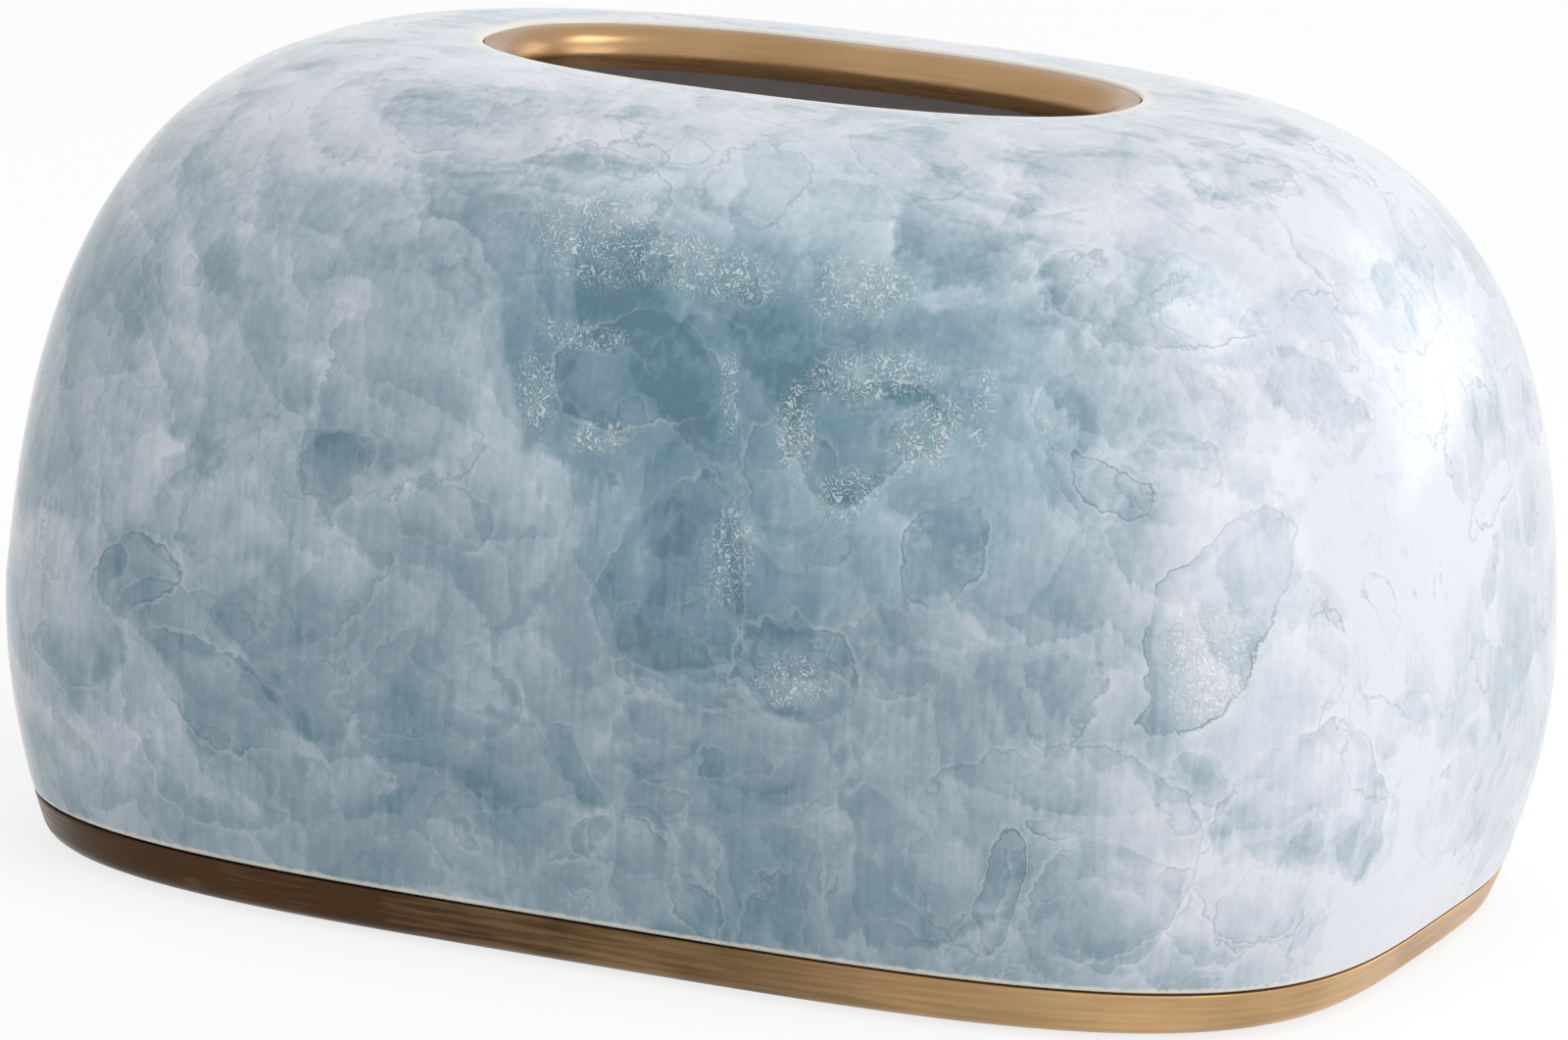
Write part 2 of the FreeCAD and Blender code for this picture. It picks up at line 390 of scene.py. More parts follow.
# One rib and the hollow beside it: level, and the way outwards as a share of the pitch
rib_profile = ((0.0, 0.0), (0.0, 0.50), (mat_rib_depth, 0.65), (mat_rib_depth, 0.85))
mat_wall = upright(*pocket_wall(0.0, mat_clearance)[:3])
mat_outlines = []
rib_count = int((0.5 * body_depth - mat_plain_middle) / mat_rib_pitch)
for rib in range(rib_count, 0, -1):
    set_in = mat_plain_margin + rib * mat_rib_pitch
    for level, share in rib_profile:
        mat_outlines.append(mat_wall(level, set_in - share * mat_rib_pitch))
mat_outlines.append(mat_wall(0.0, mat_plain_margin))
mat_outlines += edge_round(mat_wall, 0.0, mat_edge_round, -1, 1)[::-1]
mat_outlines += edge_round(mat_wall, mat_thickness, mat_edge_round, 1, 1)
mat_skin = skinned(mat_outlines, mat_points_round, False)
non_slip_mat = smooth_piece("rubber_non_slip_mat", [mat_skin], crease_angle)


def matt_rubber(name, dark, light):
    """Matt moulded rubber with a faint bloom on it."""
    relief_depth = 0.00004
    material, tree, shader, place = new_finish(name)
    dust = eased(tree, cloud(tree, place, 6.0, 5.0, 0.65), 0.35, 0.8)
    grain = cloud(tree, place, 0.4)
    tree.links.new(tinted(tree, dust, dark, light), shader.inputs["Base Color"])
    tree.links.new(eased(tree, grain, 0.3, 0.7, 0.68, 0.85), shader.inputs["Roughness"])
    relief(tree, shader, grain, relief_depth)
    return material


mat_rubber = matt_rubber("mat_rubber", dark=srgb(40, 40, 43), light=srgb(62, 62, 66))
non_slip_mat.data.materials.append(mat_rubber)
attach(non_slip_mat, "base")
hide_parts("non_slip_mat")


# Seat gasket: a rubber ring pressed into the groove of the plinth's seat.
# It stands a little proud, so the ceramic rests on rubber and a thin dark line shows between.
gasket_crown_round = 0.0005
gasket_points_round = 400
gasket_inner = upright(*gasket_wall(seat_level, gasket_width)[:3])
gasket_outlines = [gasket_wall(groove_floor)]
gasket_outlines += edge_round(gasket_wall, shell_foot, gasket_crown_round, 1, 1)
gasket_outlines += edge_round(gasket_inner, shell_foot, gasket_crown_round, 1, -1)[::-1]
gasket_outlines.append(gasket_inner(groove_floor))
gasket_skin = skinned(gasket_outlines, gasket_points_round, True)
seat_gasket = smooth_piece("rubber_seat_gasket", [gasket_skin], crease_angle)
gasket_rubber = matt_rubber("gasket_rubber", dark=srgb(34, 33, 34), light=srgb(50, 49, 50))
seat_gasket.data.materials.append(gasket_rubber)
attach(seat_gasket, "base")
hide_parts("seat_gasket")


# Slot rim: a gold metal lining of the tissue slot, half round at its mouth.
# It is pushed up from inside until its flange meets the underside of the crown, and glued there.
body_height = 0.130
crest_length = 0.111
crest_depth = 0.059
crest_plan_power = 2.4
crown_underside = 0.1245
slot_land = 0.0012
rim_top = 0.1295
rim_bottom = 0.123
rim_thickness = 0.005
rim_top_land = 0.0004
rim_round_height = 0.0045
rim_flange_width = 0.0025
rim_fit_clearance = 0.00015
rim_steps = 16
rim_points_round = 420
slot_wall = upright(
    0.5 * crest_length - slot_land, 0.5 * crest_depth - slot_land, crest_plan_power
)
rim_outlines = [
    slot_wall(crown_underside, rim_fit_clearance),
    slot_wall(rim_top, rim_fit_clearance),
]
for step in range(rim_steps + 1):
    turn = 0.5 * math.pi * step / rim_steps
    inward = rim_top_land + (rim_thickness - rim_top_land) * math.sin(turn)
    drop = rim_round_height * (1.0 - math.cos(turn))
    rim_outlines.append(slot_wall(rim_top - drop, rim_fit_clearance + inward))
rim_outlines += [
    slot_wall(rim_bottom, rim_fit_clearance + rim_thickness),
    slot_wall(rim_bottom, -rim_flange_width),
    slot_wall(crown_underside, -rim_flange_width),
]
rim_skin = skinned(rim_outlines, rim_points_round, True)
slot_rim = smooth_piece("gold_slot_rim", [rim_skin], crease_angle)

# On the rim the painted shade would only begin beyond its end, so the rim stays bright all round
rim_gold = antique_gold(
    "rim_antique_gold",
    bright=srgb(178, 144, 106),
    brown=srgb(130, 98, 67),
    painted_shade_until=-250.0,
    painted_shade_gone_from=-60.0,
    least_rough=0.2,
)
slot_rim.data.materials.append(rim_gold)
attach(slot_rim, "cover")
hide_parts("slot_rim")


# Ceramic shell: a slip-cast dome, open below, with the slot through its crown.
# It is dipped and brushed in a reactive glaze that runs into pools, tide lines and crystals;
# the foot is wiped bare, and the glaze breaks cream where it thins at the foot and the slot.
shell_foot_round = 0.0007
slot_edge_round = 0.0008
rim_flange_margin = 0.001
shoulder_power = 2.75
shell_points_round = 640
wall_steps = 26
dome_steps = 90
inner_wall_steps = 10
inner_dome_steps = 40
shell_crease_angle = 50.0


def inner_body_outline(level, set_in=0.0):
    """Outline of the shell's inner wall below its belly."""
    return body_outline(level, shell_wall + set_in)


def wall_outlines(outline_at, steps):
    """Outlines of a wall from above its foot to below its belly."""
    low = shell_foot + shell_foot_round
    rise = belly_level - low
    return [outline_at(low + rise * step / steps) for step in range(1, steps)]


def dome_outlines(set_in, crest_half_length, crest_half_depth, top, steps):
    """Outlines of a domed wall from its belly up to its crest."""
    half_length = 0.5 * body_length - set_in
    half_depth = 0.5 * body_depth - set_in
    outlines = []
    for step in range(steps + 1):
        turn = 0.5 * math.pi * step / steps
        rise, spread = math.sin(turn), math.cos(turn)
        reach = (rise ** shoulder_power + spread ** shoulder_power) ** (-1.0 / shoulder_power)
        rise, spread = rise * reach, spread * reach
        outlines.append(
            (
                crest_half_length + (half_length - crest_half_length) * spread,
                crest_half_depth + (half_depth - crest_half_depth) * spread,
                belly_plan_power + (crest_plan_power - belly_plan_power) * rise,
                belly_level + (top - belly_level) * rise,
            )
        )
    return outlines


outer_foot = edge_round(body_outline, shell_foot, shell_foot_round, -1, 1)
outer_wall = wall_outlines(body_outline, wall_steps)
outer_dome = dome_outlines(0.0, 0.5 * crest_length, 0.5 * crest_depth, body_height, dome_steps)
slot_edge = edge_round(slot_wall, body_height, slot_edge_round, 1, -1)
crown_seat = slot_wall(crown_underside, -(rim_flange_width + rim_flange_margin))
inner_dome = dome_outlines(shell_wall, *crown_seat[:2], crown_underside, inner_dome_steps)
inner_wall = wall_outlines(inner_body_outline, inner_wall_steps)
inner_foot = edge_round(inner_body_outline, shell_foot, shell_foot_round, -1, -1)
glazed_outlines = outer_foot[::-1] + outer_wall + outer_dome + slot_edge[::-1]
inside_outlines = [slot_wall(crown_underside)] + inner_dome[::-1] + inner_wall[::-1] + inner_foot
shell_outlines = glazed_outlines + inside_outlines
shell_skin = skinned(shell_outlines, shell_points_round, True)
ceramic_shell = smooth_piece("ceramic_shell_glazed", [shell_skin], shell_crease_angle)

# The cast is not dead true: the glazed side wavers by a fifth of a millimetre, inwards only
wave_depth = 0.00022
mean_wave, broad_wave, fine_wave = 0.5, 0.38, 0.12
broad_waves_per_metre = 24.0
fine_waves_per_metre = 70.0
fine_wave_shift = Vector((3.1, 7.7, 1.3))
true_rows_at_foot = 2
true_rows_at_crest = 8
shell_mesh = ceramic_shell.data
true_places = np.zeros((len(shell_mesh.vertices), 3))
facing = np.zeros((len(shell_mesh.vertices), 3))
shell_mesh.vertices.foreach_get("co", true_places.ravel())
shell_mesh.vertices.foreach_get("normal", facing.ravel())
first_row = len(outer_foot) + true_rows_at_foot
last_row = len(outer_foot) + len(outer_wall) + len(outer_dome) - true_rows_at_crest
wavered = true_places.copy()
for corner in range(first_row * shell_points_round, last_row * shell_points_round):
    spot = Vector(true_places[corner])
    waver = mean_wave + broad_wave * noise.noise(spot * broad_waves_per_metre)
    waver += fine_wave * noise.noise(spot * fine_waves_per_metre + fine_wave_shift)
    wavered[corner] -= facing[corner] * (wave_depth * waver)
shell_mesh.vertices.foreach_set("co", wavered.ravel())
shell_mesh.update()

material, tree, shader, place = new_finish("reactive_marbled_glaze")
own_axes = add_node(tree, "SeparateXYZ", None, {0: place}).outputs
wall_level = own_axes[2]


def drifted(tree, place, drift, reach):
    """Moves a place by a random drift of up to half of reach each way, in millimetres."""
    each_way = vector_calc(tree, "SUBTRACT", drift, (0.5, 0.5, 0.5))
    return vector_calc(tree, "ADD", place, scaled(tree, each_way, reach))


def swayed(tree, share, reach):
    """Turns a random share into a way of up to half of reach each way, in millimetres."""
    return product(tree, calc(tree, "SUBTRACT", share, 0.5), reach)


# The glaze runs before it sets, so each figure in it is drawn on a place that drifts
broad_drift_reach = 24.0
fine_drift_reach = 4.0
broad_drift = cloud(tree, place, 34.0, 1.0, output="Color")
fine_drift = cloud(tree, place, 8.0, 2.0, output="Color")
broad_place = drifted(tree, place, broad_drift, broad_drift_reach)
run_place = drifted(tree, broad_place, fine_drift, fine_drift_reach)

# Fine runs down the wall fray the edge of each dab, and crumbs in the coat make each pool ragged
fray_reach = 3.5
ragged_reach = 6.0
runs = cloud(tree, stretched(tree, place, (1.0, 1.0, 0.06)), 1.2, 3.0, 0.6)
grains = cloud(tree, place, 1.6, 4.0, 0.7)
fray = add_node(tree, "CombineXYZ", None, {2: swayed(tree, runs, fray_reach)}).outputs[0]
frayed_place = vector_calc(tree, "ADD", run_place, fray)
ragged = swayed(tree, cloud(tree, place, 4.0, 3.0, 0.6), ragged_reach)

# Depth of the glaze: broad, middling and small clouds
thin_coat, thick_coat = 0.51, 0.65
depth = eased(tree, cloud(tree, place, 60.0, 1.0), 0.3, 0.7, thin_coat, thick_coat)
for width, amount in ((19.0, 0.09), (8.0, 0.07)):
    swell = eased(tree, cloud(tree, run_place, width), 0.28, 0.72, -amount, amount)
    depth = total(tree, depth, swell)

# Dabs of the brush side by side, each deepest at its lower left edge:
# how far apart in mm, slope, tone, softness, shift
brush_dabs = (
    (27.0, 0.08, 0.07, 0.12, (17.0, 5.0, 61.0)),
    (16.0, 0.08, 0.06, 0.04, (83.0, 37.0, 9.0)),
    (9.0, 0.06, 0.05, 0.12, (41.0, 97.0, 33.0)),
)
dab_pull_along, dab_pull_up = -0.6, -0.7
for apart, slope, tone, softness, shift in brush_dabs:
    dab_place = stretched(tree, frayed_place, shift=shift)
    dabs = add_node(
        tree,
        "TexVoronoi",
        {"voronoi_dimensions": "3D", "feature": "SMOOTH_F1"},
        {"Vector": dab_place, "Scale": 1.0 / apart, "Smoothness": softness},
    ).outputs
    off_middle = vector_calc(tree, "SUBTRACT", dab_place, dabs["Position"])
    pull = (dab_pull_along / apart, 0.0, dab_pull_up / apart)
    fall = vector_calc(tree, "DOT_PRODUCT", off_middle, pull)
    draw = add_node(tree, "SeparateColor", None, {0: dabs["Color"]}).outputs[0]
    depth = total(tree, depth, eased(tree, fall, -0.5, 0.55, -slope, slope))
    depth = total(tree, depth, eased(tree, draw, 0.0, 1.0, -tone, tone))


def edge_line(tree, inward, outside, core, fade, strength=1.0):
    """A thin line along a pool's edge, or so far outside it, all in millimetres."""
    away = calc(tree, "ABSOLUTE", total(tree, inward, outside))
    return eased(tree, away, core, fade, strength, 0.0)


# Pools that ran together by chance: how far they lie apart, their least and most radius in mm,
# depth of colour, strength of lines, shift
pool_sizes = (
    (44.0, 12.0, 25.0, 0.13, 0.5, (3.0, 11.0, 7.0)),
    (30.0, 8.0, 17.0, 0.13, 0.6, (57.0, 23.0, 91.0)),
    (19.0, 4.0, 10.0, 0.11, 0.5, (131.0, 71.0, 17.0)),
    (12.0, 2.0, 5.5, 0.09, 0.4, (29.0, 153.0, 43.0)),
)
paler_share, deeper_share, tide_share, halo_share = 0.8, 1.2, 0.9, 0.7
pale_line_outside, pale_line_core, pale_line_fade = 0.7, 0.1, 0.5
pool_line_core, brushed_line_core, dark_line_fade = 0.06, 0.08, 0.36
edge_width = eased(tree, cloud(tree, place, 21.0, 1.0), 0.38, 0.6, 0.7, 5.5)
rim_shows = eased(tree, cloud(tree, place, 13.0, 1.0), 0.42, 0.58)
line_place = stretched(tree, place, shift=(40.0, 9.0, 5.0))
line_shows = eased(tree, cloud(tree, line_place, 14.0, 1.0), 0.44, 0.56, 0.3, 1.0)
dark_lines = 0.0
pale_lines = 0.0
for cell, least, most, weight, line_weight, shift in pool_sizes:
    pools = add_node(
        tree,
        "TexVoronoi",
        {"voronoi_dimensions": "3D", "feature": "F1"},
        {"Vector": stretched(tree, run_place, shift=shift), "Scale": 1.0 / cell},
    ).outputs
    draws = add_node(tree, "SeparateColor", None, {0: pools["Color"]}).outputs
    radius = eased(tree, draws[0], 0.0, 1.0, least, most)
    inward = calc(tree, "SUBTRACT", radius, product(tree, pools["Distance"], cell))
    inward = total(tree, inward, ragged)
    cover = eased(tree, calc(tree, "DIVIDE", inward, edge_width), 0.0, 1.0)
    tone = eased(tree, draws[1], 0.0, 1.0, -paler_share * weight, deeper_share * weight)
    tide = product(
        tree,
        eased(tree, inward, 0.0, 0.8),
        eased(tree, inward, 0.3, 5.0, tide_share * weight, 0.0),
        rim_shows,
        eased(tree, draws[2], 0.2, 0.8),
    )
    halo = product(
        tree,
        eased(tree, inward, -2.6, -0.2, 0.0, halo_share * weight),
        eased(tree, inward, -0.2, 0.3, 1.0, 0.0),
        rim_shows,
    )
    depth = total(tree, depth, product(tree, cover, tone), tide)
    depth = calc(tree, "SUBTRACT", depth, halo)
    drawn = eased(tree, draws[2], 0.3, 0.7, 0.0, line_weight)
    line = product(tree, edge_line(tree, inward, 0.0, pool_line_core, dark_line_fade), drawn)
    dark_lines = calc(tree, "MAXIMUM", dark_lines, line)
    pale = edge_line(tree, inward, pale_line_outside, pale_line_core, pale_line_fade)
    pale_lines = calc(tree, "MAXIMUM", pale_lines, product(tree, pale, drawn))

# Where a figure is drawn: along and up the wall in mm, as seen on the front;
# both slip with depth, so that the back is not a mirror of it
along_slip, along_at_front = 0.25, 19.5
level_slip, level_at_front = 0.22, 17.2
drawn_along = vector_calc(tree, "DOT_PRODUCT", run_place, (1.0, along_slip, 0.0))
drawn_along = total(tree, drawn_along, along_at_front)
drawn_level = vector_calc(tree, "DOT_PRODUCT", run_place, (0.0, level_slip, 1.0))
drawn_level = total(tree, drawn_level, level_at_front)


def oval_spread(tree, middle, level, half_width, half_height, tilt=0.0):
    """Squared share of the way from a drawn oval's middle to its edge; the oval may lean."""
    along = calc(tree, "SUBTRACT", drawn_along, middle)
    above = calc(tree, "SUBTRACT", drawn_level, level)
    if tilt:
        along = calc(tree, "SUBTRACT", along, product(tree, above, tilt))
    along = calc(tree, "DIVIDE", along, half_width)
    above = calc(tree, "DIVIDE", above, half_height)
    return total(tree, product(tree, along, along), product(tree, above, above))


# Broad deep and pale places; most the dipping left, but the two broad dark ones low on the front are
# painted shade and the four pale ones at the right end are painted light:
# middle, level, half width, half height in mm, depth
glaze_and_painted_light_places = (
    (17.0, 97.0, 38.0, 22.0, 0.46),
    (12.0, 92.0, 10.0, 9.0, 0.12),
    (46.0, 94.0, 22.0, 24.0, 0.12),
    (14.0, 66.0, 22.0, 16.0, 0.16),
    # the next two are painted shade, darker low on the front towards the foot
    (-10.0, 34.0, 84.0, 32.0, 0.2),
    (-20.0, 14.0, 80.0, 14.0, 0.14),
    (66.0, 40.0, 20.0, 24.0, 0.08),
    (-75.0, 112.0, 40.0, 14.0, -0.08),
    # the next four are painted light, paler over the right end where the lamp falls
    (113.0, 86.0, 25.0, 46.0, -0.44),
    (150.0, 70.0, 46.0, 110.0, -0.46),
    (112.0, 26.0, 34.0, 25.0, -0.42),
    (88.0, 68.0, 17.0, 26.0, -0.18),
    # left by the dipping
    (-46.0, 56.0, 24.0, 14.0, 0.12),
)
for middle, level, half_width, half_height, amount in glaze_and_painted_light_places:
    spread = oval_spread(tree, middle, level, half_width, half_height)
    depth = total(tree, depth, eased(tree, spread, 0.05, 1.5, amount, 0.0))

# Single pools brushed on:
# middle, level, half width, half height in mm, lean, depth of body and of rim, line
brushed_pools = (
    (-75.5, 51.0, 6.5, 8.0, 0.2, 0.0, 0.07, 0.9),
    (-88.0, 38.5, 8.0, 5.0, -0.4, 0.1, 0.12, 0.6),
    (-61.0, 35.5, 12.0, 9.0, 0.0, 0.1, 0.3, 0.8),
    (16.5, 65.0, 14.0, 10.0, 0.2, 0.12, 0.2, 0.7),
    (36.0, 53.5, 9.5, 9.5, 0.0, 0.04, 0.28, 0.9),
    (57.5, 69.5, 4.5, 8.0, 0.25, 0.26, 0.14, 0.9),
    (100.0, 68.0, 9.5, 14.0, 0.45, 0.02, 0.2, 1.0),
    (69.5, 22.5, 3.0, 11.0, -0.15, 0.1, 0.2, 1.0),
    (8.5, 18.5, 9.0, 5.0, 0.3, 0.02, 0.12, 0.8),
    (22.0, 12.5, 4.5, 3.0, 0.0, 0.04, 0.1, 0.8),
    (40.0, 12.5, 8.0, 5.0, 0.0, 0.02, 0.12, 0.6),
    (44.5, 89.0, 10.0, 11.0, 0.0, -0.06, 0.32, 0.9),
    (5.5, 94.5, 14.0, 11.0, 0.1, 0.1, 0.2, 0.9),
    (75.5, 97.0, 6.5, 8.0, 0.0, 0.26, 0.14, 0.4),
    (70.0, 114.0, 7.5, 3.5, 0.6, 0.26, 0.06, 0.2),
    (-45.0, 75.0, 12.0, 5.5, 0.4, 0.05, 0.08, 0.3),
    (-64.0, 104.0, 7.0, 6.0, 0.0, 0.16, 0.06, 0.0),
    (82.0, 87.0, 7.0, 5.0, -0.3, 0.02, 0.1, 0.9),
    (-24.0, 42.0, 13.0, 9.0, 0.3, 0.05, 0.16, 0.4),
    (76.0, 35.0, 5.0, 2.5, 0.2, 0.04, 0.1, 0.8),
)
brushed_rim_shows = eased(tree, rim_shows, 0.0, 1.0, 0.35, 1.0)
for middle, level, half_width, half_height, tilt, body, rim, line_weight in brushed_pools:
    spread = oval_spread(tree, middle, level, half_width, half_height, tilt)
    near = calc(tree, "SUBTRACT", 1.0, calc(tree, "SQRT", spread))
    inward = total(tree, product(tree, near, 0.5 * (half_width + half_height)), ragged)
    tide = product(
        tree,
        eased(tree, inward, 0.0, 0.7),
        eased(tree, inward, 0.3, 4.0, rim, 0.0),
        brushed_rim_shows,
    )
    depth = total(tree, depth, eased(tree, inward, 0.0, 3.0, 0.0, body), tide)
    if line_weight:
        line = edge_line(tree, inward, 0.0, brushed_line_core, dark_line_fade, line_weight)
        dark_lines = calc(tree, "MAXIMUM", dark_lines, line)
        pale = edge_line(
            tree, inward, pale_line_outside, pale_line_core, pale_line_fade, line_weight
        )
        pale_lines = calc(tree, "MAXIMUM", pale_lines, pale)

# Over the shoulder the glaze is painted paler, partly as painted light from above, with a few long
# strokes of the brush left in it
shoulder_low, shoulder_high = 112.0, 122.0
shoulder_pale_and_painted_light, stroke_depth = 0.52, 0.3
strokes = cloud(tree, stretched(tree, run_place, (0.1, 0.6, 0.8)), 3.2)
stroke_share = eased(tree, strokes, 0.5, 0.68, 0.0, stroke_depth)
shoulder = eased(tree, wall_level, shoulder_low, shoulder_high)
depth = calc(tree, "SUBTRACT", depth, product(tree, shoulder, shoulder_pale_and_painted_light))
depth = total(tree, depth, product(tree, shoulder, stroke_share))

# The runs and grains themselves
run_depth = 0.08
least_depth, most_depth = 0.08, 0.8
depth = total(tree, depth, eased(tree, runs, 0.25, 0.75, -run_depth, run_depth))
depth = total(tree, depth, eased(tree, grains, 0.25, 0.75, -run_depth, run_depth))
depth_range = {"Value": depth, "To Min": least_depth, "To Max": most_depth}
depth = add_node(tree, "MapRange", {"clamp": False}, depth_range).outputs["Result"]

# Colour of the glaze by its depth, from thin and pale to a deep grey-blue
glaze_depths = (
    (0.0, srgb(206, 209, 217)),
    (0.25, srgb(184, 192, 201)),
    (0.45, srgb(156, 171, 181)),
    (0.65, srgb(130, 151, 162)),
    (0.85, srgb(106, 134, 147)),
    (1.0, srgb(86, 116, 130)),
)
ramp = add_node(tree, "ValToRGB", None, {0: depth})
bands = ramp.color_ramp
bands.elements[0].position, bands.elements[0].color = glaze_depths[0]
bands.elements[1].position, bands.elements[1].color = glaze_depths[-1]
for position, band_colour in glaze_depths[1:-1]:
    bands.elements.new(position).color = band_colour
colour = ramp.outputs[0]

# The middle of the front took a second, greener coat:
# middle, level, half width, half height in mm
green_coat = (0.86, 0.985, 1.0, 1.0)
green_place = (30.0, 95.0, 60.0, 42.0)
green_share = eased(tree, oval_spread(tree, *green_place), 0.1, 1.3, 1.0, 0.0)
green_wash = add_node(
    tree,
    "Mix",
    {"data_type": "RGBA", "blend_type": "MULTIPLY"},
    {0: green_share, 6: colour, 7: green_coat},
)
colour = green_wash.outputs[2]

# Thin dark and pale lines where one pool stopped against another
dark_line_strength, pale_line_strength = 0.6, 0.15
dark_share = product(tree, dark_lines, line_shows, dark_line_strength)
colour = tinted(tree, dark_share, colour, srgb(78, 106, 116))
pale_share = product(tree, pale_lines, line_shows, pale_line_strength)
colour = tinted(tree, pale_share, colour, srgb(222, 226, 230))

# Pale crystals that grew as short curled needles in the deepest places:
# middle, level, half width, half height in mm
crystal_places = (
    (-3.0, 117.0, 12.0, 8.0),
    (14.0, 113.0, 12.0, 5.0),
    (40.0, 117.0, 12.0, 5.0),
    (45.5, 101.5, 9.0, 6.0),
    (36.0, 90.0, 4.0, 10.0),
    (53.0, 88.0, 4.0, 9.0),
    (45.0, 79.0, 6.0, 4.0),
    (27.0, 70.0, 6.0, 6.0),
    (34.0, 53.5, 7.0, 6.0),
    (99.0, 63.0, 8.0, 7.0),
    (-4.0, 101.0, 9.0, 3.0),
    (21.0, 92.0, 2.5, 11.0),
    (-13.0, 92.0, 5.0, 6.0),
    (-2.0, 83.0, 6.0, 3.0),
    (60.0, 96.0, 3.0, 9.0),
)
needle_reach = 1.8
needles_per_swell = 4.0
needle_core, needle_fade = 0.06, 0.26
crystal_strength = 0.62
crystal_share = eased(tree, cloud(tree, place, 24.0, 1.0), 0.76, 0.84)
for middle, level, half_width, half_height in crystal_places:
    spread = oval_spread(tree, middle, level, half_width, half_height)
    grown = eased(tree, spread, 0.1, 1.4, 1.0, 0.0)
    crystal_share = calc(tree, "MAXIMUM", crystal_share, grown)
needle_drift = cloud(tree, place, 1.6, 1.0, output="Color")
needle_place = drifted(tree, place, needle_drift, needle_reach)
needles = product(tree, cloud(tree, needle_place, 1.1, 0.0), needles_per_swell)
off_needle = calc(tree, "ABSOLUTE", calc(tree, "SUBTRACT", calc(tree, "FRACT", needles), 0.5))
needle_line = eased(tree, off_needle, needle_core, needle_fade, 1.0, 0.0)
needle_gap = eased(tree, cloud(tree, place, 2.2, 3.0), 0.3, 0.52)
crystals = product(tree, needle_line, needle_gap, crystal_share)
colour = tinted(tree, product(tree, crystals, crystal_strength), colour, srgb(214, 223, 227))

# The glaze thins over the edges at the foot and at the slot, and the cream body shows through
foot_thin_low, foot_thin_high, foot_unevenness = 8.9, 9.6, 1.2
foot_cream, slot_cream = 0.7, 0.8
uneven_level = total(tree, wall_level, product(tree, grains, foot_unevenness))
foot_thin = eased(tree, uneven_level, foot_thin_low, foot_thin_high, foot_cream, 0.0)
slot_parts = []
for axis, size in ((0, crest_length), (1, crest_depth)):
    half_in_mm = 500.0 * size
    share = calc(tree, "DIVIDE", calc(tree, "ABSOLUTE", own_axes[axis]), half_in_mm)
    slot_parts.append(calc(tree, "POWER", share, crest_plan_power))
slot_thin = eased(tree, total(tree, *slot_parts), 0.97, 1.07, slot_cream, 0.0)
thin = calc(tree, "MAXIMUM", foot_thin, slot_thin)
colour = tinted(tree, thin, colour, srgb(226, 220, 206))
tree.links.new(colour, shader.inputs["Base Color"])
tree.links.new(eased(tree, grains, 0.25, 0.8, 0.10, 0.2), shader.inputs["Roughness"])
shader.inputs["IOR"].default_value = 1.52
grain_height, line_sink, glaze_relief = 0.35, 0.4, 0.00012
height = total(tree, crystals, product(tree, grains, grain_height))
height = calc(tree, "SUBTRACT", height, product(tree, dark_lines, line_sink))
relief(tree, shader, height, glaze_relief)
ceramic_shell.data.materials.append(material)

# Inside, a single thin coat of grey-white glaze with iron specks
inner_relief = 0.00003
material, tree, shader, place = new_finish("plain_inner_glaze")
mottle = cloud(tree, place, 12.0, 4.0, 0.6)
mottle_share = eased(tree, mottle, 0.3, 0.7)
specks = cloud(tree, place, 0.9)
inner_colour = tinted(tree, mottle_share, srgb(250, 246, 246), srgb(253, 250, 250))
speck_share = eased(tree, specks, 0.68, 0.76, 0.0, 0.5)
inner_colour = tinted(tree, speck_share, inner_colour, srgb(112, 104, 98))
tree.links.new(inner_colour, shader.inputs["Base Color"])
tree.links.new(eased(tree, mottle, 0.3, 0.7, 0.3, 0.46), shader.inputs["Roughness"])
relief(tree, shader, specks, inner_relief)
ceramic_shell.data.materials.append(material)

# The foot is wiped bare before the firing
biscuit_relief = 0.00005
material, tree, shader, place = new_finish("bare_biscuit_foot")
clay = cloud(tree, place, 1.2, 5.0, 0.7)
clay_share = eased(tree, clay, 0.3, 0.7)
clay_colour = tinted(tree, clay_share, srgb(214, 203, 186), srgb(232, 224, 210))
tree.links.new(clay_colour, shader.inputs["Base Color"])
tree.links.new(eased(tree, clay, 0.3, 0.7, 0.8, 0.92), shader.inputs["Roughness"])
relief(tree, shader, clay, biscuit_relief)
ceramic_shell.data.materials.append(material)

glazed_rows = len(glazed_outlines)
biscuit_rows = 3
inner_rows = len(shell_outlines) - glazed_rows - biscuit_rows
row_finishes = [0] * glazed_rows + [1] * inner_rows + [2] * biscuit_rows
face_finishes = np.repeat(row_finishes, shell_points_round).tolist()
shell_mesh.polygons.foreach_set("material_index", face_finishes)
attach(ceramic_shell, "cover")
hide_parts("ceramic_shell")


# Studio: a white floor, an even room that is a little brighter to the right, above and behind,
# and three soft lamps, to the right, overhead and at the rear. None of it belongs to the object.
scene = bpy.context.scene
scene.view_settings.view_transform = "Standard"
floor_half = 6.0
floor_drop = 0.0002
floor_glow_share = 0.8
white = (1.0, 1.0, 1.0, 1.0)
floor_mesh = bpy.data.meshes.new("white_floor")
floor_mesh.from_pydata(
    [
        (-floor_half, -floor_half, -floor_drop),
        (floor_half, -floor_half, -floor_drop),
        (floor_half, floor_half, -floor_drop),
        (-floor_half, floor_half, -floor_drop),
    ],
    [],
    [(0, 1, 2, 3)],
)
floor = bpy.data.objects.new("white_floor", floor_mesh)
scene.collection.objects.link(floor)


